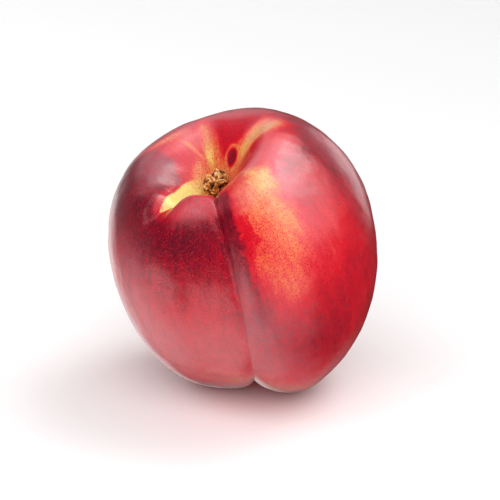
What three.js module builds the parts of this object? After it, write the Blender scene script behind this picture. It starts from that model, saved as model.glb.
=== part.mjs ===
// A whole nectarine lying on the two rounded halves beside its suture,
// with the stem cavity up and nodding forward, and a dried stub of stem in the cavity.
// Millimetres, +Z up. The suture faces -Y.
import * as THREE from 'three';
import { mergeVertices } from 'three/addons/utils/BufferGeometryUtils.js';

// ---- driving dimensions ----
// distances from the middle of the stem axis; the suture splits the fruit in two unequal halves
const CHEEK = { left: 28.9, right: 37.7 };
const FRONT = { left: 30.5, right: 39.7 };
const BACK = 33.1;
const TOP = { left: 35.4, right: 38.5 };
const BOTTOM = { left: 34.0, right: 38.9 };
const FULLNESS = 2.11;                                    // 2 would be an ellipsoid
const TAPER = 0.08;                                       // shoulders a little wider than the blossom end
const BLEND = 14;                                         // how far the two halves run into each other
const CAVITY = { deep: 18.6, radius: 9.1, open_back: 0.38, slope: 1.6 };
const CREASE = { top: 1.1, middle: 0.5, low: 3.0 };       // the narrow line of the suture
const EDGE = { left: 0.6, right: 1.2, foot: 2.6 };        // how far that line's sides reach
const VALLEY = { top: 3.8, middle: 0.3, low: 1.6 };       // the wide dip around that line
const SPAN = { left: 13, right: 8 };                      // how far the dip's sides reach
const BOW = { out: 0.5, at: 73.8, spread: 26 };           // sideways wander of the suture
const LIP = { high: 1.8, width: 5.0 };                    // swollen edge right of the suture
// folds that run out of the cavity: [azimuth, reach, depth, half width], azimuth 0 at the suture
const FOLDS = [[-52.5, 24.3, 3.4, 3.0], [113.0, 20.7, 1.9, 3.6], [176.0, 18.0, 1.6, 3.0]];
// humps on the shoulders: [azimuth, distance from the stem axis, height, spread]
const HUMPS = [[100.7, 13.6, 2.0, 12.5], [-30.3, 10.4, 2.4, 5.7]];
const HEEL = { x: -11, y: -9, high: 1.89, spread: 11 };   // fuller underside of the left half
const TIP = { deep: 3, radius: 8 };                       // dimple at the blossom end
const POSE = { roll: -9.62, nod: 15.87, turn: 5.7 };      // degrees, how the fruit lies
const SOLE = -33.76;                                      // where the skin is flattened by its own weight
const MIDDLE = { x: 3.76, y: -2.49 };
const STUB = { foot: 2.0, neck: 2.2, head: 3.05, tall: 9.8, dish: 0.8, drift: 1.5, gap: 0.3 };
const GIRTH = 34;                                         // mean half width, turns a direction into mm
const WAIST = 12;                                         // forms above and below fade in over this height
// where along the suture, in degrees from the stem, its depths and its sides change, and where it ends
const SUTURE = { upper: [25, 85], lower: [95, 150], sides: [70, 125], end: [165, 178], over: [-6, 4] };
const LIP_RUN = { from: [5, 30], to: [35, 95] };          // degrees from the stem where it rises and sinks

const RAD = Math.PI / 180;
const ramp = (a, b, x) => {
  const t = Math.min(1, Math.max(0, (x - a) / (b - a)));
  return t * t * (3 - 2 * t);
};
const along = (s, deg) => (deg < 90
  ? s.middle + (s.top - s.middle) * (1 - ramp(...SUTURE.upper, deg))
  : s.middle + (s.low - s.middle) * ramp(...SUTURE.lower, deg));
const bell = (x) => Math.exp(-x * x);

// distance of the skin from the middle of the fruit, before the cavity is pressed in
function reach(theta, phi) {
  const dx = Math.sin(theta) * Math.sin(phi), dy = -Math.sin(theta) * Math.cos(phi), dz = Math.cos(theta);
  const deg = theta / RAD, side = ramp(-BLEND, BLEND, GIRTH * dx);
  const mix = (d) => d.left + (d.right - d.left) * side;
  const ax = dx > 0 ? CHEEK.right : CHEEK.left, ay = dy < 0 ? mix(FRONT) : BACK;
  const az = dz > 0 ? mix(TOP) : mix(BOTTOM), n = FULLNESS;
  let r = Math.pow((Math.abs(dx) / ax) ** n + (Math.abs(dy) / ay) ** n + (Math.abs(dz) / az) ** n, -1 / n);
  r *= 1 + TAPER * dz * (1 - dz * dz);
  const x = r * dx - BOW.out * bell((deg - BOW.at) / BOW.spread);
  const half = x < 0 ? 'left' : 'right';
  const edge = EDGE[half] + (EDGE.foot - EDGE[half]) * ramp(...SUTURE.sides, deg);
  const groove = along(CREASE, deg) * Math.exp(-Math.abs(x) / edge)
    + along(VALLEY, deg) * bell(x / SPAN[half]);
  const q = Math.max(x, 0) / LIP.width;
  const lip = LIP.high * q * Math.exp(1 - q) * ramp(...LIP_RUN.from, deg) * (1 - ramp(...LIP_RUN.to, deg));
  r += ramp(...SUTURE.over, -r * dy) * (lip - (1 - ramp(...SUTURE.end, deg)) * groove);
  for (const [az_, rho, high, spread] of HUMPS) {
    const d2 = (r * dx - rho * Math.sin(az_ * RAD)) ** 2 + (r * dy + rho * Math.cos(az_ * RAD)) ** 2;
    r += high * Math.exp(-d2 / spread ** 2) * ramp(0, WAIST, r * dz);
  }
  const h2 = (r * dx - HEEL.x) ** 2 + (r * dy - HEEL.y) ** 2;
  r += HEEL.high * Math.exp(-h2 / HEEL.spread ** 2) * ramp(0, WAIST, -r * dz);
  return r;
}

// a point of the skin, in the fruit's own axes: +Z along the stem, -Y through the suture
function skin(theta, phi) {
  const r = reach(theta, phi);
  const x = r * Math.sin(theta) * Math.sin(phi), y = -r * Math.sin(theta) * Math.cos(phi);
  let z = r * Math.cos(theta);
  const rho = Math.hypot(x, y), upper = ramp(0, WAIST, z);
  const wide = CAVITY.radius * (1 + CAVITY.open_back * (0.5 + 0.5 * y / Math.max(rho, 1e-6)));
  z -= upper * CAVITY.deep * Math.exp(-Math.pow(rho / wide, CAVITY.slope));
  for (const [az_, far, deep, half] of FOLDS) {
    const s = Math.sin(az_ * RAD), c = Math.cos(az_ * RAD);
    const out = x * s - y * c, across = x * c + y * s;
    const stretch = ramp(1, 6, out) * (1 - ramp(0.55 * far, 1.1 * far, out));
    z -= upper * deep * stretch * bell(across / half);
  }
  z += (1 - ramp(-WAIST, 0, z)) * TIP.deep * bell(rho / TIP.radius);
  return new THREE.Vector3(x, y, z);
}

// height of the cavity's skin at a given distance from the stem axis
function cavityFloor(rho, phi) {
  let theta = rho / 32;
  for (let i = 0; i < 8; i++) theta = Math.asin(Math.min(1, rho / reach(theta, phi)));
  return skin(theta, phi).z;
}

const pose = new THREE.Matrix4().makeRotationY(POSE.roll * RAD)
  .multiply(new THREE.Matrix4().makeRotationX(POSE.nod * RAD))
  .multiply(new THREE.Matrix4().makeRotationZ(POSE.turn * RAD));
const lay = (p) => p.applyMatrix4(pose).sub(new THREE.Vector3(MIDDLE.x, MIDDLE.y, SOLE));

// bends a ball into any closed form: put(v, u) gives the point, v from 0 at the top to 1 at the bottom
function closedForm(columns, rows, put) {
  const g = new THREE.SphereGeometry(1, columns, rows), pos = g.getAttribute('position');
  for (let i = 0; i < pos.count; i++) {
    const row = Math.floor(i / (columns + 1)) / rows, col = (i % (columns + 1)) % columns / columns;
    const p = put(row, col);
    pos.setXYZ(i, p.x, p.y, p.z);
  }
  g.deleteAttribute('uv');
  g.deleteAttribute('normal');
  const out = mergeVertices(g, 1e-5);
  out.computeVertexNormals();
  return out;
}

// rows crowd together in the cavity, columns beside the suture
function fruitForm() {
  return closedForm(88, 58, (v, u) => {
    const theta = Math.PI * (v - 0.085 * Math.sin(2 * Math.PI * v) - 0.035 * Math.sin(Math.PI * v));
    const t = u - 0.5, phi = 2 * Math.PI * t - 0.66 * Math.sin(2 * Math.PI * t);
    const p = lay(skin(theta, phi));
    p.z = Math.max(p.z, 0);
    return p;
  });
}

// knobbly column, wider at its broken head, its foot following the cavity's skin
function stubForm() {
  const foot = cavityFloor(0, 0) + STUB.gap;
  return closedForm(30, 20, (v, u) => {
    const phi = 2 * Math.PI * u;
    const knob = 1 + 0.07 * Math.sin(3 * phi + 0.6) + 0.05 * Math.sin(5 * phi + 2.0)
      + 0.03 * Math.sin(8 * phi);
    let rho, z;
    if (v < 0.3) {                       // dished broken face
      const k = v / 0.3;
      rho = STUB.head * 0.86 * k * knob;
      z = foot + STUB.tall - STUB.dish * (1 - k * k) + 0.25 * Math.sin(4 * phi + 1) * k;
    } else if (v < 0.8) {                // side
      const k = (v - 0.3) / 0.5;
      const swell = STUB.neck + (STUB.head - STUB.neck) * (1 - ramp(0.1, 0.75, k));
      rho = swell * (1 - 0.08 * Math.exp(-k * 14)) + (STUB.foot - STUB.neck) * ramp(0.7, 1, k);
      rho *= k < 0.9 ? knob : 1;
      const low = cavityFloor(STUB.foot, phi) + STUB.gap + 0.25;
      z = (foot + STUB.tall - 0.35 + 0.25 * Math.sin(4 * phi + 1) * (1 - k)) * (1 - k) + low * k;
    } else {                             // foot
      const k = (1 - v) / 0.2;
      rho = STUB.foot * 0.94 * k;
      z = cavityFloor(rho, phi) + STUB.gap;
    }
    const h = (z - foot) / STUB.tall;
    return lay(new THREE.Vector3(rho * Math.sin(phi) + STUB.drift * h * h, -rho * Math.cos(phi), z));
  });
}

const nectarine = new THREE.Group();
nectarine.name = 'nectarine';
const pieces = [
  ['fruit', fruitForm(), new THREE.MeshStandardMaterial({ name: 'skin', color: 0xb52a38, roughness: 0.38 })],
  ['stem_stub', stubForm(),
    new THREE.MeshStandardMaterial({ name: 'dry_stem', color: 0x7a5528, roughness: 0.85 })],
];
for (const [name, geometry, material] of pieces) {
  const mesh = new THREE.Mesh(geometry, material);
  mesh.name = name;
  nectarine.add(mesh);
}
export default nectarine;
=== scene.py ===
import math

import bpy
from mathutils import Matrix, Vector, noise as wrinkles
from mathutils.bvhtree import BVHTree


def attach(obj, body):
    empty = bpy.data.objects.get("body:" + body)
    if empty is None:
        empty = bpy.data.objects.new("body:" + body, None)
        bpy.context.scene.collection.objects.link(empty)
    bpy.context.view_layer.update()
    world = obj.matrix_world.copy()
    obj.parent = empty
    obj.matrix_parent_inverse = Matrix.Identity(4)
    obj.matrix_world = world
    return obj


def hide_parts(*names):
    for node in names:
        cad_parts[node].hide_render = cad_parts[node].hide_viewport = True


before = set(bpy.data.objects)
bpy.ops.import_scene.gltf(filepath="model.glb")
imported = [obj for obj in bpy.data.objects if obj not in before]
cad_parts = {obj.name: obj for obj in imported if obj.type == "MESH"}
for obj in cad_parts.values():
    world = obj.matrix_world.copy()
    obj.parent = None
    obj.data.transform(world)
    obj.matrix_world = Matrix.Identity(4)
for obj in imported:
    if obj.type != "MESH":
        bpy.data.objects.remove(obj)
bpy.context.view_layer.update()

MM = 0.001
RAD = math.pi / 180
NEAR_ZERO = 1e-4                    # stands in for 0 under a division

# ---- the fruit's sizes, mm and degrees ----
# distances from the middle of the stem axis; the suture splits the fruit in two unequal halves
CHEEK = {"left": 28.9, "right": 37.7}
FRONT = {"left": 30.5, "right": 39.7}
BACK = 33.1
TOP = {"left": 35.4, "right": 38.5}
BOTTOM = {"left": 34.0, "right": 38.9}
FULLNESS = 2.11                                             # 2 would be an ellipsoid
TAPER = 0.08                                                # shoulders a little wider than the blossom end
BLEND = 14.0                                                # how far the two halves run into each other
CAVITY = {"deep": 18.6, "radius": 9.1, "open_back": 0.38, "slope": 1.6}     # wider at the back
CREASE = {"top": 1.1, "middle": 0.5, "low": 3.0}            # the narrow line of the suture
EDGE = {"left": 0.6, "right": 1.2, "foot": 2.6}             # how far that line's sides reach
VALLEY = {"top": 3.8, "middle": 0.3, "low": 1.6}            # the wide dip around that line
SPAN = {"left": 13, "right": 8}                             # how far the dip's sides reach
BOW = {"out": 0.5, "at": 73.8, "spread": 26.0}              # sideways wander of the suture
LIP = {"high": 1.8, "width": 5.0}                           # swollen edge right of the suture
# folds that run out of the cavity: (azimuth, reach, depth, half width), azimuth 0 at the suture
FOLDS = [(-52.5, 24.3, 3.4, 3.0), (113.0, 20.7, 1.9, 3.6), (176.0, 18.0, 1.6, 3.0)]
FOLD_RUN = {"starts": (1.0, 6.0), "ends": (0.55, 1.1)}      # mm from the stem axis, and parts of the reach
# humps on the shoulders: (azimuth, distance from the stem axis, height, spread)
HUMPS = [(100.7, 13.6, 2.0, 12.5), (-30.3, 10.4, 2.4, 5.7)]
HEEL = {"x": -11.0, "y": -9.0, "high": 1.89, "spread": 11.0}    # fuller underside of the left half
TIP = {"deep": 3.0, "radius": 8.0}                          # dimple at the blossom end
POSE = {"roll": -9.62, "nod": 15.87, "turn": 5.7}           # how the fruit lies
SOLE = -33.76                                               # where its own weight flattens the skin
MIDDLE = (3.76, -2.49)                                      # comes over the origin of the floor
GIRTH = 34.0                                                # mean half width, turns a direction into mm
WAIST = 12.0                                                # forms above and below fade in over this height
# degrees from the stem where the suture's depths and sides change and where it ends, and how far
# it runs over to the back, in mm
SUTURE = {"upper": (25.0, 85.0), "lower": (95.0, 150.0), "sides": (70.0, 125.0), "end": (165.0, 178.0),
          "over": (-6.0, 4.0)}
LIP_RUN = {"rises": (5.0, 30.0), "sinks": (35.0, 95.0)}     # degrees from the stem
WAVES = [(0.12, 0.5), (0.45, 0.12)]                         # unevenness of the skin: (waves per mm, height)
GRID = {"columns": 320, "rows": 290}
CROWD = {"poles": 0.2, "stem": 0.09, "suture": 0.62}        # how close the grid's lines draw together there

TURN = (Matrix.Rotation(POSE["roll"] * RAD, 4, "Y") @ Matrix.Rotation(POSE["nod"] * RAD, 4, "X")
        @ Matrix.Rotation(POSE["turn"] * RAD, 4, "Z"))
LAY = Matrix.Translation((-MIDDLE[0] * MM, -MIDDLE[1] * MM, -SOLE * MM)) @ TURN


# ---- sums written as plain arithmetic, laid down as nodes ----
class Term:
    """A number that varies over a surface: one socket of a node tree."""

    def __init__(self, tree, socket):
        self.tree, self.socket = tree, socket

    def __add__(self, other):
        return work(self.tree, "ADD", self, other)

    def __sub__(self, other):
        return work(self.tree, "SUBTRACT", self, other)

    def __rsub__(self, other):
        return work(self.tree, "SUBTRACT", other, self)

    def __mul__(self, other):
        return work(self.tree, "MULTIPLY", self, other)

    def __truediv__(self, other):
        return work(self.tree, "DIVIDE", self, other)

    def __rtruediv__(self, other):
        return work(self.tree, "DIVIDE", other, self)

    def __pow__(self, other):
        return work(self.tree, "POWER", self, other)

    def __neg__(self):
        return work(self.tree, "MULTIPLY", self, -1.0)

    __radd__ = __add__
    __rmul__ = __mul__


def plug(tree, value, socket):
    """Links a term or a socket to the socket, or sets a plain number or colour on it."""
    if isinstance(value, Term):
        tree.links.new(value.socket, socket)
    elif hasattr(value, "links"):
        tree.links.new(value, socket)
    else:
        socket.default_value = value


def work(tree, operation, *values):
    """Lays down one math node and returns what it gives."""
    node = tree.nodes.new("ShaderNodeMath")
    node.operation = operation
    for value, socket in zip(values, node.inputs):
        plug(tree, value, socket)
    return Term(tree, node.outputs[0])


def act(operation):
    """The operation as a function of terms and numbers."""
    return lambda *values: work(next(v.tree for v in values if isinstance(v, Term)), operation, *values)


sine, cosine, exp, size, root = (act(k) for k in ("SINE", "COSINE", "EXPONENT", "ABSOLUTE", "SQRT"))
arccos, arctan2, larger, smaller = (act(k) for k in ("ARCCOSINE", "ARCTAN2", "MAXIMUM", "MINIMUM"))
above = act("GREATER_THAN")


def ramp(low, high, x):
    """0 before low, 1 after high, eased between."""
    node = x.tree.nodes.new("ShaderNodeMapRange")
    node.interpolation_type = "SMOOTHSTEP"
    for value, socket in zip((x, low, high, 0.0, 1.0), node.inputs):
        plug(x.tree, value, socket)
    return Term(x.tree, node.outputs[0])


def bell(x):
    """1 at zero, falling away either side."""
    return exp(-(x * x))


def between(a, b, part):
    return a + (b - a) * part


def turned(u, v, degrees):
    """The two numbers, seen along a direction."""
    c, s = math.cos(degrees * RAD), math.sin(degrees * RAD)
    return u * c + v * s, v * c - u * s


def xyz(tree, x, y, z):
    node = tree.nodes.new("ShaderNodeCombineXYZ")
    for value, socket in zip((x, y, z), node.inputs):
        plug(tree, value, socket)
    return node.outputs[0]


def parts(tree, vector):
    node = tree.nodes.new("ShaderNodeSeparateXYZ")
    tree.links.new(vector, node.inputs[0])
    return [Term(tree, s) for s in node.outputs]


def noise(tree, vector, scale, detail=2.0, rough=0.5):
    """Cloudy noise about zero."""
    node = tree.nodes.new("ShaderNodeTexNoise")
    for name, value in (("Vector", vector), ("Scale", scale), ("Detail", detail), ("Roughness", rough)):
        plug(tree, value, node.inputs[name])
    return Term(tree, node.outputs[0]) - 0.5


# ---- the fruit's form, as geometry nodes ----
SIZES = {
    "cheek left": CHEEK["left"], "cheek right": CHEEK["right"], "front left": FRONT["left"],
    "front right": FRONT["right"], "back": BACK, "top left": TOP["left"], "top right": TOP["right"],
    "bottom left": BOTTOM["left"], "bottom right": BOTTOM["right"], "fullness": FULLNESS,
    "cavity depth": CAVITY["deep"], "lip": LIP["high"],
}


def form_tree(name, columns, rows, sizes):
    """A tree that starts from a closed ball. Returns it with its ball, its named sizes and its angles."""
    tree = bpy.data.node_groups.new(name, "GeometryNodeTree")
    tree.interface.new_socket(name="Shape", in_out="OUTPUT", socket_type="NodeSocketGeometry")
    for label, value in sizes.items():
        socket = tree.interface.new_socket(name=label, in_out="INPUT", socket_type="NodeSocketFloat")
        socket.default_value = value
    given = tree.nodes.new("NodeGroupInput")
    named = {label: Term(tree, given.outputs[label]) for label in sizes}
    ball = tree.nodes.new("GeometryNodeMeshUVSphere")
    for label, value in (("Segments", columns), ("Rings", rows), ("Radius", 1.0)):
        ball.inputs[label].default_value = value
    place = tree.nodes.new("GeometryNodeInputPosition")
    x, y, z = parts(tree, place.outputs[0])
    theta = arccos(smaller(larger(z, -1.0), 1.0))
    phi = arctan2(x, -y)
    return tree, ball.outputs["Mesh"], named, theta, phi


def finish_form(tree, mesh, place, material, kept):
    """Moves the ball's points to place, keeps named vectors on them, and gives the material."""
    for label, vector in kept:
        store = tree.nodes.new("GeometryNodeStoreNamedAttribute")
        store.data_type = "FLOAT_VECTOR"
        store.inputs["Name"].default_value = label
        tree.links.new(mesh, store.inputs["Geometry"])
        tree.links.new(vector, store.inputs["Value"])
        mesh = store.outputs["Geometry"]
    shift = tree.nodes.new("GeometryNodeSetPosition")
    smooth = tree.nodes.new("GeometryNodeSetShadeSmooth")
    real = tree.nodes.new("GeometryNodeRealizeInstances")
    dress = tree.nodes.new("GeometryNodeSetMaterial")
    dress.inputs["Material"].default_value = material
    out = tree.nodes.new("NodeGroupOutput")
    tree.links.new(mesh, shift.inputs["Geometry"])
    tree.links.new(place, shift.inputs["Position"])
    tree.links.new(shift.outputs[0], smooth.inputs["Geometry"])
    tree.links.new(smooth.outputs[0], real.inputs["Geometry"])
    tree.links.new(real.outputs[0], dress.inputs["Geometry"])
    tree.links.new(dress.outputs[0], out.inputs[0])


def suture_depth(groove, deg):
    """Depth of the suture's crease or valley, from the cavity down to the blossom end."""
    low, high, top = ramp(*SUTURE["lower"], deg), 1.0 - ramp(*SUTURE["upper"], deg), above(90.0, deg)
    return (groove["middle"] + (groove["top"] - groove["middle"]) * (high * top)
            + (groove["low"] - groove["middle"]) * (low * (1.0 - top)))


def suture_and_lip(s, x, deg):
    """What the suture takes off the skin and what the lip beside it adds, at x mm from its line."""
    half = above(x, 0.0)
    edge = between(between(EDGE["left"], EDGE["right"], half), EDGE["foot"], ramp(*SUTURE["sides"], deg))
    span = between(SPAN["left"], SPAN["right"], half)
    groove = suture_depth(CREASE, deg) * exp(-(size(x) / edge)) + suture_depth(VALLEY, deg) * bell(x / span)
    q = larger(x, 0.0) / LIP["width"]
    lip = q * exp(1.0 - q) * ramp(*LIP_RUN["rises"], deg) * (1.0 - ramp(*LIP_RUN["sinks"], deg)) * s["lip"]
    return lip - (1.0 - ramp(*SUTURE["end"], deg)) * groove


def mound(r, dx, dy, x, y, spread):
    """1 over the point (x, y), falling away round it."""
    u, v = (r * dx - x) / spread, (r * dy - y) / spread
    return exp(-(u * u + v * v))


def reach_of(s, theta, phi):
    """Distance of the skin from the middle of the fruit, before the cavity is pressed in."""
    dx, dy, dz = sine(theta) * sine(phi), -(sine(theta) * cosine(phi)), cosine(theta)
    deg = theta / RAD
    side = ramp(-BLEND, BLEND, dx * GIRTH)
    right, front, upper = above(dx, 0.0), above(0.0, dy), above(dz, 0.0)
    cheek = between(s["cheek left"], s["cheek right"], right)
    face = between(s["back"], between(s["front left"], s["front right"], side), front)
    top = between(s["top left"], s["top right"], side)
    bottom = between(s["bottom left"], s["bottom right"], side)
    end = between(bottom, top, upper)
    n = s["fullness"]
    r = (size(dx / cheek) ** n + size(dy / face) ** n + size(dz / end) ** n) ** (-1.0 / n)
    r = r * (dz * (1.0 - dz * dz) * TAPER + 1.0)
    x = r * dx - bell((deg - BOW["at"]) / BOW["spread"]) * BOW["out"]
    r = r + ramp(*SUTURE["over"], -(r * dy)) * suture_and_lip(s, x, deg)
    for azimuth, far, high, spread in HUMPS:
        at_x, at_y = far * math.sin(azimuth * RAD), -far * math.cos(azimuth * RAD)
        r = r + mound(r, dx, dy, at_x, at_y, spread) * ramp(0.0, WAIST, r * dz) * high
    heel = mound(r, dx, dy, HEEL["x"], HEEL["y"], HEEL["spread"])
    return r + heel * ramp(0.0, WAIST, -(r * dz)) * HEEL["high"], dx, dy, dz


def skin_point(s, theta, phi):
    """A point of the skin and its direction. In the fruit's own axes +Z is the stem and -Y the suture."""
    r, dx, dy, dz = reach_of(s, theta, phi)
    x, y, z = r * dx, r * dy, r * dz
    rho = root(x * x + y * y)
    upper = ramp(0.0, WAIST, z)
    wider = (y / larger(rho, NEAR_ZERO) * 0.5 + 0.5) * (CAVITY["open_back"] * CAVITY["radius"])
    z = z - upper * exp(-((rho / (wider + CAVITY["radius"])) ** CAVITY["slope"])) * s["cavity depth"]
    for azimuth, far, deep, half in FOLDS:
        across, back = turned(x, y, azimuth)
        ends = [far * part for part in FOLD_RUN["ends"]]
        stretch = ramp(*FOLD_RUN["starts"], -back) * (1.0 - ramp(*ends, -back))
        z = z - upper * stretch * bell(across / half) * deep
    z = z + (1.0 - ramp(-WAIST, 0.0, z)) * bell(rho / TIP["radius"]) * TIP["deep"]
    return (x, y, z), (dx, dy, dz)


def laid(x, y, z):
    """A point of the fruit's own axes, in mm, as it lies on the floor, in metres."""
    rows = [[LAY[i][j] for j in range(4)] for i in range(3)]
    return [x * (row[0] * MM) + y * (row[1] * MM) + z * (row[2] * MM) + row[3] for row in rows]


def fruit_tree(material):
    """The whole fruit. Its skin keeps its direction from the middle and its place in the fruit's own axes."""
    tree, ball, s, row, column = form_tree("fruit form", GRID["columns"], GRID["rows"], SIZES)
    theta = row - sine(row * 2.0) * CROWD["poles"] - sine(row) * CROWD["stem"]
    phi = column - sine(column) * CROWD["suture"]
    point, direction = skin_point(s, theta, phi)
    own = xyz(tree, *point)
    for often, high in WAVES:
        swell = noise(tree, own, often, 1.0) * high
        point = [at + way * swell for at, way in zip(point, direction)]
    x, y, z = laid(*point)
    on_floor = xyz(tree, x, y, larger(z, 0.0))
    finish_form(tree, ball, on_floor, material, [("facing", xyz(tree, *direction)), ("stemwise", own)])
    return tree


def grown(name, tree):
    """The tree's shape as a plain mesh object at the origin."""
    seed = bpy.data.objects.new(name + "_seed", bpy.data.meshes.new(name + "_seed"))
    bpy.context.scene.collection.objects.link(seed)
    seed.modifiers.new("form", "NODES").node_group = tree
    bpy.context.view_layer.update()
    result = seed.evaluated_get(bpy.context.evaluated_depsgraph_get())
    mesh = bpy.data.meshes.new_from_object(result)
    mesh.name = name
    bpy.data.objects.remove(seed)
    piece = bpy.data.objects.new(name, mesh)
    bpy.context.scene.collection.objects.link(piece)
    return piece


# ---- parts that the materials share ----
SPECKLE_SIZES = {"Cloud size": 0.25, "Grain size": 2.2, "Pore spacing": 0.8}    # per mm
SPECKLE_MASKS = ("Clouds", "Grain", "Pores")
CLOUD_NOISE, GRAIN_NOISE = (4.0, 0.55), (2.0, 0.6)      # detail, roughness
PORE_EDGE = (0.10, 0.24)


def srgb(r, g, b):
    """A colour given 0 to 255, as light."""
    light = [v / 255 / 12.92 if v <= 10 else ((v / 255 + 0.055) / 1.055) ** 2.4 for v in (r, g, b)]
    return tuple(light) + (1.0,)


def speckle_group():
    """Clouds, fine grain and pale pores, shared by skin and stem."""
    tree = bpy.data.node_groups.new("speckle", "ShaderNodeTree")
    tree.interface.new_socket(name="Place", in_out="INPUT", socket_type="NodeSocketVector")
    for label, value in SPECKLE_SIZES.items():
        socket = tree.interface.new_socket(name=label, in_out="INPUT", socket_type="NodeSocketFloat")
        socket.default_value = value
    for label in SPECKLE_MASKS:
        tree.interface.new_socket(name=label, in_out="OUTPUT", socket_type="NodeSocketFloat")
    given, out = tree.nodes.new("NodeGroupInput"), tree.nodes.new("NodeGroupOutput")
    place = given.outputs["Place"]
    clouds = noise(tree, place, given.outputs["Cloud size"], *CLOUD_NOISE)
    grain = noise(tree, place, given.outputs["Grain size"], *GRAIN_NOISE)
    cells = tree.nodes.new("ShaderNodeTexVoronoi")
    tree.links.new(place, cells.inputs["Vector"])
    tree.links.new(given.outputs["Pore spacing"], cells.inputs["Scale"])
    pores = 1.0 - ramp(*PORE_EDGE, Term(tree, cells.outputs["Distance"]))
    for label, value in zip(SPECKLE_MASKS, (clouds, grain, pores)):
        plug(tree, value, out.inputs[label])
    return tree


SPECKLE = speckle_group()


def speckle(tree, place, *sizes):
    """The shared masks with these sizes, in the order of SPECKLE_SIZES."""
    node = tree.nodes.new("ShaderNodeGroup")
    node.node_tree = SPECKLE
    tree.links.new(place, node.inputs["Place"])
    for label, value in zip(SPECKLE_SIZES, sizes):
        node.inputs[label].default_value = value
    return [Term(tree, node.outputs[label]) for label in SPECKLE_MASKS]


def millimetres(tree):
    """Object coordinates in mm."""
    where = tree.nodes.new("ShaderNodeTexCoord")
    grow = tree.nodes.new("ShaderNodeMapping")
    grow.inputs["Scale"].default_value = (1 / MM, 1 / MM, 1 / MM)
    tree.links.new(where.outputs["Object"], grow.inputs["Vector"])
    return grow.outputs[0]


def stored(tree, label, output):
    """What the piece's mesh keeps under this name."""
    node = tree.nodes.new("ShaderNodeAttribute")
    node.attribute_name = label
    return node.outputs[output]


def shades(tree, value, stops):
    """Colours along a scale: (place on it, colour)."""
    node = tree.nodes.new("ShaderNodeValToRGB")
    node.color_ramp.interpolation = "LINEAR"
    while len(node.color_ramp.elements) < len(stops):
        node.color_ramp.elements.new(0.5)
    for element, (at, colour) in zip(node.color_ramp.elements, stops):
        element.position, element.color = at, colour
    plug(tree, value, node.inputs[0])
    return node.outputs[0]


def blend_colour(tree, part, first, second):
    """The first colour where part is 0, and the second where it is 1."""
    node = tree.nodes.new("ShaderNodeMix")
    node.data_type = "RGBA"
    plug(tree, part, node.inputs[0])
    for value, socket in zip((first, second), [s for s in node.inputs if s.type == "RGBA"]):
        plug(tree, value, socket)
    return next(s for s in node.outputs if s.type == "RGBA")


def relief(tree, shader, height, distance, strength):
    """A bump over the surface, distance in metres."""
    bump = tree.nodes.new("ShaderNodeBump")
    bump.inputs["Strength"].default_value = strength
    bump.inputs["Distance"].default_value = distance
    plug(tree, height, bump.inputs["Height"])
    tree.links.new(bump.outputs[0], shader.inputs["Normal"])


def bare_material(name):
    material = bpy.data.materials.new(name)
    material.use_nodes = True
    return material, material.node_tree, material.node_tree.nodes["Principled BSDF"]


# ---- the skin ----
# from bare ground colour to the deepest blush
RIPENESS = [
    (0.00, srgb(248, 232, 140)), (0.12, srgb(244, 196, 110)), (0.26, srgb(236, 142, 80)),
    (0.40, srgb(230, 88, 60)), (0.52, srgb(224, 34, 50)), (0.60, srgb(216, 6, 30)), (0.70, srgb(198, 2, 30)),
    (0.80, srgb(170, 1, 32)), (0.90, srgb(132, 2, 29)), (1.00, srgb(90, 4, 26)),
]
PLAIN_BLUSH = 0.72
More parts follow.
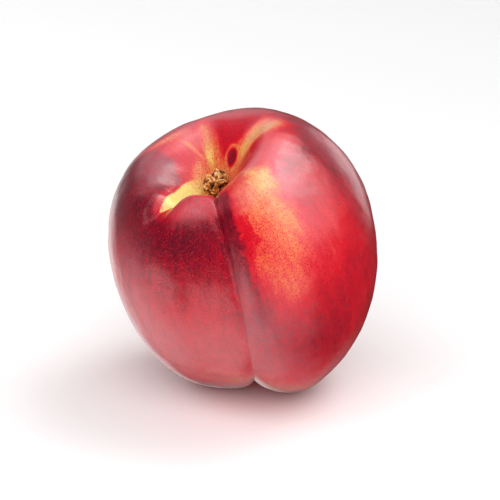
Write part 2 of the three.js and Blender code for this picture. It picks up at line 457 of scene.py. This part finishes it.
# blush painted round the fruit, one stroke over the other, in degrees:
# (azimuth, angle from the stem, half width, half height, slant, softness, depth of blush)
STROKES = [
    (-40, 85, 60, 45, 0, 0.9, 0.72),        # lower left half
    (-95, 72, 20, 42, 0, 0.9, 0.48),        # paler at its far side
    (-62, 108, 22, 20, 0, 0.9, 0.56),       # lighter low on the left, painted light from the floor
    (-14, 105, 18, 30, 0, 0.8, 0.68),       # clearer red low in front
    (8, 126, 46, 14, 0, 0.9, 0.40),         # paler towards the floor, painted light from the floor
    (-88, 40, 52, 15, 0, 0.7, 0.97),        # dark cap of the left half
    (-34, 58, 50, 11, 0, 0.9, 0.83),        # deeper red under its front
    (-40, 42, 44, 12, 0, 0.7, 0.94),        # dark front of the cap
    (-28, 28, 32, 6, 0, 0.8, 0.75),         # lighter shoulder above it
    (40, 88, 42, 27, 0, 0.7, 0.75),         # low on the right half
    (28, 90, 19, 11, 0, 0.8, 0.80),         # deeper red under the coral middle
    (12, 78, 14, 9, 0, 0.9, 0.78),          # and beside the suture
    (8, 56, 6, 27, 0, 0.8, 0.88),           # dark red right of the suture, partly painted shade of its slope
    (54, 114, 14, 12, 0, 0.9, 0.66),        # lighter near the floor, painted light from the floor
    (66, 98, 22, 26, 0, 0.9, 0.57),         # paler at the far side, painted light from the floor
    (60, 49, 25, 26, 18, 0.8, 0.98),        # dark red of the right cheek
    (92, 36, 24, 13, 0, 0.8, 0.86),         # dark edge of the right half
    (70, 25, 42, 7, 0, 0.8, 0.50),          # red shoulder of the right half
    (42, 60, 26, 18, 0, 0.8, 0.58),         # coral middle of the right half
    (52, 43, 17, 8, 0, 0.7, 0.70),          # deeper red spot in it
    (18.5, 38, 10.5, 27, 0, 0.7, 0.45),     # salmon window beside the suture
    (27, 43, 10, 24, 14, 0.8, 0.26),        # orange window
    (26, 25, 6, 5, 0, 0.9, 0.48),           # redder above it
    (36, 31, 8, 6, 0, 0.9, 0.12),           # its cream spot, partly a painted highlight
    (19, 55, 9, 13, 10, 0.8, 0.42),         # its salmon foot
    (4.5, 38, 5, 24, 0, 0.5, 0.91),         # dark band along the suture, partly painted shade of its slope
    (11, 46, 3.2, 10, 0, 0.5, 0.60),        # clear red strip beside it
    (-106, 22, 42, 10, 0, 0.8, 0.91),       # dark left rim of the cavity
    (-138, 29, 24, 6, 0, 0.9, 0.92),        # dark skin beyond it
    (-160, 20, 20, 11, 0, 0.9, 0.54),       # peach behind the cavity
    (150, 24, 32, 9, 0, 0.8, 0.74),         # back wall of the cavity
    (180, 105, 60, 42, 0, 0.9, 0.50),       # shaded back
    (150, 110, 34, 26, 20, 0.9, 0.30),      # ground colour showing on it
    (-150, 80, 20, 24, -15, 0.9, 0.42),     # and on its left
    (0, 180, 400, 20, 0, 0.9, 0.40),        # blossom end
]
# marks in and round the cavity, seen along the stem, mm:
# (x, y, half length, half width, direction, softness, depth of blush)
MARKS = [
    (1.4, 2.2, 7.2, 4.8, 78, 0.4, 0.34),    # floor of the cavity
    (7.0, 10.4, 5.2, 4.0, 60, 0.4, 0.70),   # dark patch on the back wall
    (1.9, 10.8, 7.6, 2.0, 95, 0.8, 0.30),   # ray up the back wall
    (0.8, 12.3, 4.4, 1.2, 94, 0.6, 0.04),   # its pale heart
    (14.0, 6.6, 3.2, 1.3, 20, 0.8, 0.30),   # orange beside the right fold
    (-3.6, 12.7, 4.6, 2.6, 0, 0.9, 0.47),   # salmon left of the ray
    (12.6, 3.4, 8.0, 3.4, 3, 0.6, 0.20),    # ray along the right fold
    (-3.5, 14.2, 4.6, 1.7, 11, 0.9, 0.46),  # salmon skin behind the cavity
    (-2.7, 11.4, 3.6, 0.5, -46, 0.6, 0.30),     # pale streak
    (-4.8, 7.4, 3.4, 2.2, 50, 0.7, 0.56),   # red patch left of the stem
    (-2.4, 6.8, 2.4, 1.2, 60, 0.8, 0.26),   # orange beside it
    (6.0, 2.3, 2.4, 1.5, 80, 0.8, 0.34),    # orange right of the stem
    (-8.6, 16.2, 6.0, 1.4, 12, 0.8, 0.33),  # pale band on the far shoulder
    (-4.0, -10.4, 3.0, 1.1, -12, 0.7, 0.36),    # pale edge of the near shoulder
    (-4.2, 0.6, 4.8, 3.0, 50, 0.5, 0.05),   # yellow floor running on from the wedge
]
# a ring of lighter skin round a dark spot, mm
LOOP = {"x": 6.4, "y": 5.1, "radius": 1.8, "half": 0.45, "line": 0.30, "inside": 0.88, "spot": (-0.8, 0.2),
        "clear": 0.8}
# the pale wedge in the left fold, mm: its upper edge starts at (x, y), runs in this direction, and bends
# near its end; the wedge opens by this share of its length up to its full width
WEDGE = {"x": -14.3, "y": -9.6, "toward": 60.0, "long": 18.5, "wide": 6.5, "point": 0.2, "opens": 0.75,
         "bends_from": 13.0, "bend": 0.1, "edge": 0.3, "lower_edge": (-0.5, 0.3), "starts": (-1.0, 1.0),
         "ends": (-2.0, 0.5)}
WEDGE_BLUSH = {"tip": 0.18, "middle": -0.05, "root": 0.15, "tip_run": (1.0, 6.0), "root_run": (13.5, 18.0)}
# the red rim along its upper edge
RIM = {"off": 0.9, "half": 0.7, "starts": (-1.5, 1.0), "ends": (10.0, 14.0), "strength": 0.6, "blush": 0.56}
# waxy bloom that pales the skin, with painted sheen and painted reflections of the floor among its patches:
# (azimuth, angle from the stem, half width, half height, amount)
BLOOM_AND_SHEEN = [
    (-120, 24, 34, 7, 0.14), (-18, 27, 18, 6, 0.18), (58, 26, 24, 7, 0.30), (-172, 24, 16, 8, 0.20),
    (-62, 88, 18, 30, 0.16), (12, 80, 12, 14, 0.12), (5, 128, 40, 14, 0.14), (100, 52, 16, 14, 0.16),
    (150, 30, 30, 7, 0.12), (-35, 100, 26, 18, 0.08), (-158, 22, 24, 7, 0.10), (14, 107, 9, 9, 0.12),
    (19, 32, 8, 5, 0.16), (108, 23, 12, 5, 0.25), (40, 44, 14, 12, 0.12), (38, 37, 12, 6, 0.20),
    (-130, 90, 46, 60, 0.12), (140, 95, 44, 50, 0.12),
]
BLOOM_AND_SHEEN_SOFT = 0.9
DUST_AND_SHEEN, FLECK = srgb(236, 178, 190), srgb(236, 92, 108)       # the bloom and painted sheen, and pale flecks in the red
CORK, STEM_SHADOW = srgb(150, 84, 22), srgb(34, 18, 6)      # brown skin round the stem, and painted shadow right under it
SCAR = srgb(92, 52, 26)                             # the small dry dot at the blossom end
CORK_RADIUS, STEM_SHADOW_RADIUS, SCAR_RADIUS = (2.6, 4.4), (2.2, 3.4), (0.7, 1.5)   # where they fade out, mm
STEM_END, BLOSSOM_END = (50.0, 65.0), (120.0, 140.0)    # degrees from the stem
SKIN_SPECKS = (0.16, 3.4, 1.5)                      # clouds, grain and pores of the skin, per mm
# how far the blush strays from its strokes and marks, and the rings round the stem: degrees, and mm
DRIFT = {"azimuth": 14.0, "angle": 10.0, "x": 0.4, "y": 0.5, "rings": 1.5}
WANDER, NIBBLE = (0.22, 3.0), (0.7, 3.0, 0.6)       # the noise that it follows: per mm, detail, roughness
STREAKS = {"round": 26.0, "down": 0.07}             # fine streaks from stem to blossom end
STREAK_NOISE = (1.0, 4.0, 0.65)
LINE = {"x": -0.3, "half": 0.45, "starts": (8.0, 14.0), "ends": (50.0, 70.0)}   # the suture's dull upper half
SEAM = {"half": 0.45, "starts": (45.0, 60.0), "wander": 0.5, "amount": 0.06}    # and its pale lower half
# how much each kind of unevenness deepens the blush, fades it to flecks, or dulls the skin
MOTTLE = {"clouds": 0.14, "streaks": 0.26, "nibble": 0.18, "grain": 0.44, "dots": 0.05, "pores": 0.06}
HALF_RIPE = {"blush": 0.38, "spread": 0.30, "dots": 0.18}   # the speckle shows most between yellow and red
DOTS, FADED = (0.02, 0.20), (0.05, 0.22)            # dots in the high grain, pale flecks in the low
FLECKS = {"pores": 0.26, "grain": 0.12, "in": (0.4, 0.7)}   # only where the blush is this deep
DUSTY_AND_SHEEN = {"nibble": 0.8, "grain": 2.2}
CORK_STRENGTH, SCAR_STRENGTH = 0.5, 0.8
ROUGH = {"skin": 0.30, "grain": 0.3, "clouds": 0.12, "dust_and_sheen": 0.3, "groove": 0.3}
COAT = {"yellow": 0.4, "more": 0.6, "red": (0.0, 0.15), "groove": 0.7}      # bare yellow shines less
BUMPS = {"deep": 0.00018, "strength": 1.0, "nibble": 0.6}   # deep is in metres
FLESH_GLOW = (0.003, 0.001, 0.0006)                 # how far red, green and blue light go in, in metres


def oval(u, v, across, down, soft):
    """1 inside an oval, fading out at its edge."""
    u, v = u / across, v / down
    return 1.0 - ramp(1.0 - soft, 1.0 + soft, root(u * u + v * v))


def painted(depth, mask, level):
    """The blush after one more stroke, which brings it to level where the mask is 1."""
    return mask * (level - depth) + depth


def from_azimuth(azimuth, at):
    """Degrees from an azimuth, the short way round."""
    return work(azimuth.tree, "WRAP", azimuth - at, 180.0, -180.0)


def painted_loop(depth, x, y, upper):
    u, v = x - LOOP["x"], y - LOOP["y"]
    off = root(u * u + v * v) - LOOP["radius"]
    depth = painted(depth, (1.0 - ramp(*LOOP["spot"], off)) * upper, LOOP["inside"])
    return painted(depth, bell(off / LOOP["half"]) * upper * LOOP["clear"], LOOP["line"])


def painted_wedge(depth, x, y, upper):
    along, out = turned(x - WEDGE["x"], y - WEDGE["y"], WEDGE["toward"])
    bent = larger(along - WEDGE["bends_from"], 0.0)
    out = out + bent * bent * WEDGE["bend"]
    wide = smaller(larger(along, 0.0) * WEDGE["opens"] + WEDGE["point"], WEDGE["wide"])
    inside = (1.0 - ramp(-WEDGE["edge"], WEDGE["edge"], out)) * ramp(*WEDGE["lower_edge"], out + wide)
    far_end = [WEDGE["long"] + part for part in WEDGE["ends"]]
    inside = inside * ramp(*WEDGE["starts"], along) * (1.0 - ramp(*far_end, along))
    rim = bell((out - RIM["off"]) / RIM["half"]) * ramp(*RIM["starts"], along)
    rim = rim * (1.0 - ramp(*RIM["ends"], along)) * upper
    depth = painted(depth, rim * RIM["strength"], RIM["blush"])
    pale = between(WEDGE_BLUSH["tip"], WEDGE_BLUSH["middle"], ramp(*WEDGE_BLUSH["tip_run"], along))
    pale = between(pale, WEDGE_BLUSH["root"], ramp(*WEDGE_BLUSH["root_run"], along))
    return painted(depth, inside * upper, pale)


def blush(azimuth, polar, x, y):
    """How deep the blush is, from 0, bare ground colour, to 1."""
    depth = PLAIN_BLUSH
    for at_azimuth, at_polar, across, down, slant, soft, level in STROKES:
        u, v = turned(from_azimuth(azimuth, at_azimuth), polar - at_polar, slant)
        depth = painted(depth, oval(u, v, across, down, soft), level)
    upper = 1.0 - ramp(*STEM_END, polar)
    for at_x, at_y, long, wide, direction, soft, level in MARKS:
        u, v = turned(x - at_x, y - at_y, direction)
        depth = painted(depth, oval(u, v, long, wide, soft) * upper, level)
    return painted_wedge(painted_loop(depth, x, y, upper), x, y, upper)


def bloom_and_sheen(azimuth, polar):
    """How much the waxy bloom and the painted sheen pale the skin."""
    amount = 0.0
    for at_azimuth, at_polar, across, down, strength in BLOOM_AND_SHEEN:
        mask = oval(from_azimuth(azimuth, at_azimuth), polar - at_polar, across, down, BLOOM_AND_SHEEN_SOFT)
        amount = amount + mask * strength
    return amount


def ends_coloured(tree, colour, near, polar):
    """Brown skin round the stem, painted shadow right under it, and the dry dot at the blossom end."""
    stem_end, blossom_end = 1.0 - ramp(*STEM_END, polar), ramp(*BLOSSOM_END, polar)
    colour = blend_colour(tree, (1.0 - ramp(*CORK_RADIUS, near)) * stem_end * CORK_STRENGTH, colour, CORK)
    # painted shadow under the stem, where it stands in the cavity
    colour = blend_colour(tree, (1.0 - ramp(*STEM_SHADOW_RADIUS, near)) * stem_end, colour, STEM_SHADOW)
    return blend_colour(tree, (1.0 - ramp(*SCAR_RADIUS, near)) * blossom_end * SCAR_STRENGTH, colour, SCAR)


def skin_material():
    """Red blush over a yellow ground, speckled, dusty with bloom and painted sheen, and glossy under it."""
    skin, tree, shader = bare_material("skin")
    place = millimetres(tree)
    fx, fy, fz = parts(tree, stored(tree, "facing", "Vector"))
    sx, sy = parts(tree, stored(tree, "stemwise", "Vector"))[:2]
    flat = larger(root(fx * fx + fy * fy), NEAR_ZERO)
    polar = arctan2(flat, fz) / RAD
    azimuth = arctan2(fx, -fy) / RAD
    front = above(0.0, fy)
    clouds, grain, pores = speckle(tree, place, *SKIN_SPECKS)
    wander, nibble = noise(tree, place, *WANDER), noise(tree, place, *NIBBLE)
    around_at, down_at = azimuth + wander * DRIFT["azimuth"], polar + clouds * DRIFT["angle"]
    across = [part / flat * STREAKS["round"] for part in (fx, fy)]
    streaks = noise(tree, xyz(tree, *across, polar * STREAKS["down"]), *STREAK_NOISE)

    depth = blush(around_at, down_at, sx + nibble * DRIFT["x"], sy + wander * DRIFT["y"])
    half_ripe = bell((depth - HALF_RIPE["blush"]) / HALF_RIPE["spread"])
    depth = depth + clouds * MOTTLE["clouds"] + streaks * MOTTLE["streaks"]
    depth = depth + nibble * MOTTLE["nibble"] + grain * MOTTLE["grain"]
    dots = ramp(*DOTS, grain) * (half_ripe * HALF_RIPE["dots"] + MOTTLE["dots"])
    depth = depth + dots - pores * MOTTLE["pores"]

    seam = bell((sx + wander * SEAM["wander"]) / SEAM["half"]) * front * ramp(*SEAM["starts"], polar)
    uneven = nibble * DUSTY_AND_SHEEN["nibble"] + grain * DUSTY_AND_SHEEN["grain"] + 1.0
    # bloom paling the skin, with painted sheen and painted reflections of the floor in some of its patches
    dusty_and_sheen = bloom_and_sheen(around_at, down_at) * uneven + seam * SEAM["amount"]
    flecks = (pores * FLECKS["pores"] + ramp(*FADED, -grain) * FLECKS["grain"]) * ramp(*FLECKS["in"], depth)
    colour = blend_colour(tree, flecks, shades(tree, depth, RIPENESS), FLECK)
    colour = blend_colour(tree, dusty_and_sheen, colour, DUST_AND_SHEEN)
    near = root(sx * sx + sy * sy) + nibble * DRIFT["rings"]
    tree.links.new(ends_coloured(tree, colour, near, polar), shader.inputs["Base Color"])

    groove = bell((sx - LINE["x"]) / LINE["half"]) * front
    groove = groove * ramp(*LINE["starts"], polar) * (1.0 - ramp(*LINE["ends"], polar))
    rough = grain * ROUGH["grain"] + clouds * ROUGH["clouds"] + dusty_and_sheen * ROUGH["dust_and_sheen"]
    plug(tree, rough + groove * ROUGH["groove"] + ROUGH["skin"], shader.inputs["Roughness"])
    coat = ramp(*COAT["red"], depth) * COAT["more"] + COAT["yellow"]
    plug(tree, (1.0 - groove * COAT["groove"]) * coat, shader.inputs["Coat Weight"])
    relief(tree, shader, grain + nibble * BUMPS["nibble"], BUMPS["deep"], BUMPS["strength"])
    shader.inputs["Specular IOR Level"].default_value = 0.2
    shader.inputs["Coat Roughness"].default_value = 0.2
    shader.inputs["Subsurface Weight"].default_value = 0.35
    shader.inputs["Subsurface Radius"].default_value = FLESH_GLOW
    shader.inputs["Subsurface Scale"].default_value = 1.0
    return skin


fruit = grown("nectarine_fruit", fruit_tree(skin_material()))
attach(fruit, "root")
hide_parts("fruit")

# ---- the dried stem stub: a broken, crumpled knob on a narrow foot, mm ----
STUB = {"tall": 9.3, "dish": 0.8, "crown": 0.35, "drift": 1.5}      # drift is how far its head leans right
# (share of the height, radius)
KNOB = [(0.0, 2.35), (0.1, 2.05), (0.35, 2.15), (0.6, 2.6), (0.8, 3.0), (0.92, 3.05), (1.0, 2.75)]
BROW = (0.86, 1.0)                                      # where the side turns into the face
SIDE, FACE, AROUND = 110, 60, 220                       # rings on the side and on the face, points in a ring
# waves round the knob: (how many, turn in radians, height)
LUMPS = [(3, 0.6, 0.07), (5, 2.0, 0.05)]                # as a share of the radius
RAGGED = [(2, 1.1, 0.35), (5, 0.0, 0.2)]                # of the rim
LUMPS_FROM = (0.1, 0.5)
SUNK = {"foot": 0.3, "middle": 0.6}                     # how far the foot goes into the skin
OVERHEAD = 45                                           # a height well above the skin
CLEFTS = [(-150, 16, 1.5), (70, 13, 0.9), (-30, 18, 0.7)]   # (azimuth, half width in degrees, depth)
# in the clefts, dark is how much painted shade darkens them
CLEFT = {"from": (0.55, 0.95), "down": 0.7, "in": 0.35, "dark": 0.35, "middle": 2.0}    # full from 2 mm out
# a curled ridge on the broken face; pale is a painted glint along it
CURL = {"x": 0.9, "y": 0.3, "radius": 1.25, "half": 0.26, "high": 0.6, "toward": 2.0, "pale": 0.4}
FOLD_SIZES = [(0.5, 0.55), (0.32, 1.15), (0.18, 2.6)]   # (share, folds per mm)
BENT = {"often": 0.7, "far": 0.9, "sharp": 2.6}         # how the folds wander, and how sharp they are
ELSEWHERE = Vector((9, 0, 0))                           # a second, unlike reading of the same noise
CREASED = {"foot": 0.22, "head": 0.75, "from": (0.35, 0.85), "mean": 0.45, "face": 0.9}     # fold depths
FIBRES = {"round": 5, "up": 0.22, "high": 0.16, "pale": 0.3}    # fibres along the side


def eased(low, high, x):
    """The same as ramp, for a plain number."""
    t = min(max((x - low) / (high - low), 0.0), 1.0)
    return t * t * (3 - 2 * t)


def knob_radius(h):
    """Radius at this share of the height, eased between the two given ones."""
    for (low, narrow), (high, wide) in zip(KNOB, KNOB[1:]):
        if h <= high:
            return narrow + (wide - narrow) * eased(low, high, h)


def waves(kinds, azimuth):
    """All these waves together, at this azimuth."""
    return sum(high * math.sin(many * azimuth + turn) for many, turn, high in kinds)


def crumple(place):
    """Folds of three sizes, from 0 in the creases to 1 on the crests."""
    at = place * BENT["often"]
    bent = place + Vector((wrinkles.noise(at), wrinkles.noise(at + ELSEWHERE), 0)) * BENT["far"]
    return sum(share * (1.0 - min(abs(wrinkles.noise(bent * often)) * BENT["sharp"], 1.0))
               for share, often in FOLD_SIZES)


def outwards(azimuth):
    """Away from the stem axis, azimuth 0 at the suture, in radians."""
    return Vector((math.sin(azimuth), -math.cos(azimuth), 0))


def knob_point(radius, azimuth, z, h, flat):
    """A point of the knob, and its tone from painted shade in its creases to its pale crests. Flat is 0 on
    the side and 1 on the face.
    """
    way, side = outwards(azimuth), 1 - flat
    lumps = 1 + waves(LUMPS, azimuth) * eased(*LUMPS_FROM, h)
    p = way * radius * lumps + Vector((STUB["drift"] * h * h, 0, z))
    rough = crumple(p)
    fibres = wrinkles.noise(Vector((way.x * FIBRES["round"], way.y * FIBRES["round"], z * FIBRES["up"])))
    rise = (rough - CREASED["mean"]) * (CREASED["foot"] + CREASED["head"] * eased(*CREASED["from"], h))
    out = rise * side + fibres * FIBRES["high"] * side
    curl = math.hypot(p.x - CURL["x"], p.y - CURL["y"]) - CURL["radius"]
    ring = math.exp(-(curl / CURL["half"]) ** 2) * flat * (0.5 + 0.5 * math.cos(azimuth - CURL["toward"]))
    lift = rise * CREASED["face"] * flat + ring * CURL["high"]
    for at, half, deep in CLEFTS:
        off = (math.degrees(azimuth) - at + 180) % 360 - 180
        notch = math.exp(-(off / half) ** 2) * eased(*CLEFT["from"], h) * min(radius / CLEFT["middle"], 1.0)
        lift -= deep * notch * CLEFT["down"]
        out -= deep * notch * CLEFT["in"]
        rough -= notch * CLEFT["dark"]
    # tone: painted shade in the creases and clefts, a painted glint on the curled ridge
    shade_to_crest = min(max(rough + ring * CURL["pale"] + fibres * FIBRES["pale"] * side, 0.0), 1.0)
    return p + way * out + Vector((0, 0, lift)), shade_to_crest


def knob_rings(foot, ground):
    """Rings from the foot up to the rim and inwards over the broken face, then the middles of face and foot.
    Each point is its radius, azimuth, height, share of the height, and how far it is on the face."""
    turns = [2 * math.pi * j / AROUND for j in range(AROUND)]
    middle = foot + STUB["tall"] - STUB["dish"]
    rims = [foot + STUB["tall"] + waves(RAGGED, turn) for turn in turns]
    lows = [ground(outwards(turn) * KNOB[0][1]) - SUNK["foot"] for turn in turns]
    for i in range(SIDE):
        h = i / SIDE
        for turn, low, rim in zip(turns, lows, rims):
            yield knob_radius(h), turn, low + (rim - low) * h, h, eased(*BROW, h)
    for i in range(FACE):
        k = 1 - i / FACE
        for turn, rim in zip(turns, rims):
            z = rim - STUB["dish"] * (1 - k * k) + STUB["crown"] * math.sin(k * math.pi)
            yield KNOB[-1][1] * k, turn, z * k + middle * (1 - k), 1.0, 1.0
    yield 0.0, 0.0, middle, 1.0, 1.0
    yield 0.0, 0.0, foot - SUNK["middle"], 0.0, 0.0


def ring_faces(rings, around):
    """Faces between neighbouring rings, then fans that close the last ring and the first."""
    faces = []
    for i in range(rings - 1):
        for j in range(around):
            n = (j + 1) % around
            faces.append((i * around + j, i * around + n, (i + 1) * around + n, (i + 1) * around + j))
    for j in range(around):
        n = (j + 1) % around
        faces.append(((rings - 1) * around + j, (rings - 1) * around + n, rings * around))
        faces.append((n, j, rings * around + 1))
    return faces


def stub_piece(skin_mesh):
    """The knob, with its foot just in the skin."""
    faces = [tuple(face.vertices) for face in skin_mesh.polygons]
    skin = BVHTree.FromPolygons([v.co for v in skin_mesh.vertices], faces)
    down = (LAY.to_3x3() @ Vector((0, 0, -1))).normalized()

    def ground(at):
        """Height of the skin under a point, in the fruit's own axes."""
        hit = skin.ray_cast(LAY @ (Vector((at.x, at.y, OVERHEAD)) * MM), down)
        return (LAY.inverted() @ hit[0]).z / MM

    given = list(knob_rings(ground(Vector((0, 0))), ground))
    made = [knob_point(*values) for values in given]
    mesh = bpy.data.meshes.new("stem_knob")
    mesh.from_pydata([LAY @ (p * MM) for p, _ in made], [], ring_faces(SIDE + FACE, AROUND))
    mesh.polygons.foreach_set("use_smooth", [True] * len(mesh.polygons))
    for label, values in (("shade_to_crest", [shade_to_crest for _, shade_to_crest in made]), ("height", [values[3] for values in given])):
        mesh.attributes.new(label, "FLOAT", "POINT").data.foreach_set("value", values)
    piece = bpy.data.objects.new("stem_knob", mesh)
    bpy.context.scene.collection.objects.link(piece)
    return piece


# from the painted shade in the creases of the dried stem to its crests
BARK = [
    (0.00, srgb(26, 12, 5)), (0.22, srgb(78, 38, 14)), (0.45, srgb(170, 94, 32)), (0.68, srgb(224, 150, 76)),
    (0.88, srgb(244, 196, 130)), (1.00, srgb(254, 228, 184)),
]
# ochre of the lower stem, and painted shadow at its foot
OCHRE, FOOT_SHADOW = srgb(176, 112, 24), srgb(24, 14, 6)
BARK_SPECKS = (0.5, 4.0, 2.0)                           # clouds, grain and pores of the stem, per mm
BARK_TONE = {"shade_to_crest": 1.15, "clouds": 0.5, "grain": 0.5, "pores": 0.15, "darker": 0.05}
OCHRE_SHARE, OCHRE_UP, FOOT_SHADOW_UP = 0.55, (0.3, 0.8), (0.02, 0.22)     # lower stem and its painted foot shadow: shares of the height
BARK_ROUGH = {"stem": 0.62, "shade_to_crest": 0.3, "clouds": 0.4}
BARK_BUMPS = {"deep": 0.0002, "strength": 0.8}          # deep is in metres


def stem_material():
    """Dry brown bark, with painted shade in its creases, pale on its crests, and a painted shadow at its
    foot.
    """
    bark, tree, shader = bare_material("dry_stem")
    clouds, grain, pores = speckle(tree, millimetres(tree), *BARK_SPECKS)
    # tone from painted shade in the creases to the crests, and share of the height
    shade_to_crest, height = [Term(tree, stored(tree, label, "Fac")) for label in ("shade_to_crest", "height")]
    tone = shade_to_crest * BARK_TONE["shade_to_crest"] + clouds * BARK_TONE["clouds"] + grain * BARK_TONE["grain"]
    colour = shades(tree, tone - pores * BARK_TONE["pores"] - BARK_TONE["darker"], BARK)
    ochre = blend_colour(tree, OCHRE_SHARE, colour, OCHRE)
    colour = blend_colour(tree, ramp(*OCHRE_UP, height), ochre, colour)
    # painted shadow over the foot, where it sits in the cavity
    colour = blend_colour(tree, ramp(*FOOT_SHADOW_UP, height), FOOT_SHADOW, colour)
    tree.links.new(colour, shader.inputs["Base Color"])
    rough = BARK_ROUGH["stem"] - shade_to_crest * BARK_ROUGH["shade_to_crest"] + clouds * BARK_ROUGH["clouds"]
    plug(tree, rough, shader.inputs["Roughness"])
    relief(tree, shader, grain + clouds, BARK_BUMPS["deep"], BARK_BUMPS["strength"])
    shader.inputs["Specular IOR Level"].default_value = 0.6
    return bark


stub = stub_piece(fruit.data)
stub.data.materials.append(stem_material())
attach(stub, "root")
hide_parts("stem_stub")

# ---- the studio: a pale floor, two soft lamps and glowing walls ----
FLOOR_HALF = 3.0                     # metres
PAPER_WHITE = (0.96, 0.96, 0.96, 1)
LAMP_AIM = Vector((0, 0, 0.035))     # the middle of the fruit, metres
# soft boxes of the studio, as patches of its walls: (azimuth, elevation, reach, soft edge, strength), degrees
GLOWS = [
    (122, 54, 16, 9, 2.8),           # large box above, behind on the right
    (132, 54, 8, 9, 1.6),            # its brightest part
    (166, 60, 11, 9, 1.0),           # its corner over the top
    (92, 40, 22, 18, 1.3),           # its spill on the right
    (-120, 84, 8, 7, 0.8),           # and over the top
    (-58, 58, 9, 8, 0.9),            # small box above on the left
    (38, 22, 28, 24, 0.7),           # box in front on the right
    (-82, -50, 24, 26, 1.2),         # table top on the left
    (-58, -20, 12, 10, 1.0),         # its far edge
    (-20, -60, 16, 24, 0.3),         # table top in front
    (168, -50, 12, 12, 0.2),         # and behind
    (152, -1, 8, 8, 1.1),            # pale wall behind on the right
    (-172, 12, 12, 12, 0.3),         # behind the fruit
    (-156, 29, 9, 7, 0.5),           # above it
    (-158, -24, 14, 12, 1.0),        # and on the left
]
DIM = 0.02                           # light of the walls between them
# (name, azimuth, elevation, distance in metres, width in metres, power in watts)
LAMPS = [("side", -105, 30, 0.8, 0.5, 1.7), ("fill", -16, 46, 0.8, 0.9, 5.9)]
# lens, sensor and aim in mm, elevation in degrees, distance in metres
CAMERA = {"lens": 200.0, "sensor": 36.0, "elevation": 22.0, "distance": 0.7, "aim": (1.91, 3.20, 35.52)}


def way_to(azimuth, elevation):
    """Unit vector, azimuth 0 in front of the fruit and growing to the right."""
    a, e = azimuth * RAD, elevation * RAD
    return Vector((math.sin(a) * math.cos(e), -math.cos(a) * math.cos(e), math.sin(e)))


def stand(name, data, aim, way, distance):
    """A lamp or camera, put up in this direction from aim and turned to it."""
    held = bpy.data.objects.new(name, data)
    held.location = aim + way * distance
    held.rotation_euler = way.to_track_quat("Z", "Y").to_euler()
    bpy.context.scene.collection.objects.link(held)
    return held


def paper_floor():
    """A pale sheet that the skin doesn't mirror."""
    mesh = bpy.data.meshes.new("floor")
    w = FLOOR_HALF
    mesh.from_pydata([(-w, -w, 0), (w, -w, 0), (w, w, 0), (-w, w, 0)], [], [(0, 1, 2, 3)])
    paper, _, shader = bare_material("paper")
    shader.inputs["Base Color"].default_value = PAPER_WHITE
    mesh.materials.append(paper)
    sheet = bpy.data.objects.new("floor", mesh)
    sheet.visible_glossy = False
    bpy.context.scene.collection.objects.link(sheet)
    return sheet


def lamp(name, azimuth, elevation, distance, width, power):
    """A soft lamp that lights the fruit but isn't mirrored in its skin."""
    light = bpy.data.lights.new(name, "AREA")
    light.size, light.energy = width, power
    stand(name, light, LAMP_AIM, way_to(azimuth, elevation), distance).visible_glossy = False


def studio_walls():
    """A world of soft patches for the skin to mirror, plain white to the camera."""
    world = bpy.data.worlds.new("studio")
    bpy.context.scene.world = world
    world.use_nodes = True
    room = world.node_tree
    sky = room.nodes["Background"]
    sky.inputs["Color"].default_value = (1, 1, 1, 1)
    toward = room.nodes.new("ShaderNodeTexCoord")
    wx, wy, wz = parts(room, toward.outputs["Generated"])
    glow = 0.0
    for azimuth, elevation, reach, soft, strength in GLOWS:
        way = way_to(azimuth, elevation)
        facing = wx * way.x + wy * way.y + wz * way.z
        edge, core = math.cos((reach + soft) * RAD), math.cos(max(reach - soft, 0) * RAD)
        glow = glow + ramp(edge, core, facing) * strength
    seen = Term(room, room.nodes.new("ShaderNodeLightPath").outputs["Is Camera Ray"])
    plug(room, between(glow + DIM, 1.0, seen), sky.inputs["Strength"])


def camera():
    """Looks down on the front of the fruit."""
    lens = bpy.data.cameras.new("camera")
    lens.lens, lens.sensor_width = CAMERA["lens"], CAMERA["sensor"]
    way = way_to(0, CAMERA["elevation"])
    bpy.context.scene.camera = stand("camera", lens, Vector(CAMERA["aim"]) * MM, way, CAMERA["distance"])


floor = paper_floor()
for values in LAMPS:
    lamp(*values)
studio_walls()
camera()
bpy.context.scene.view_settings.view_transform = "Standard"
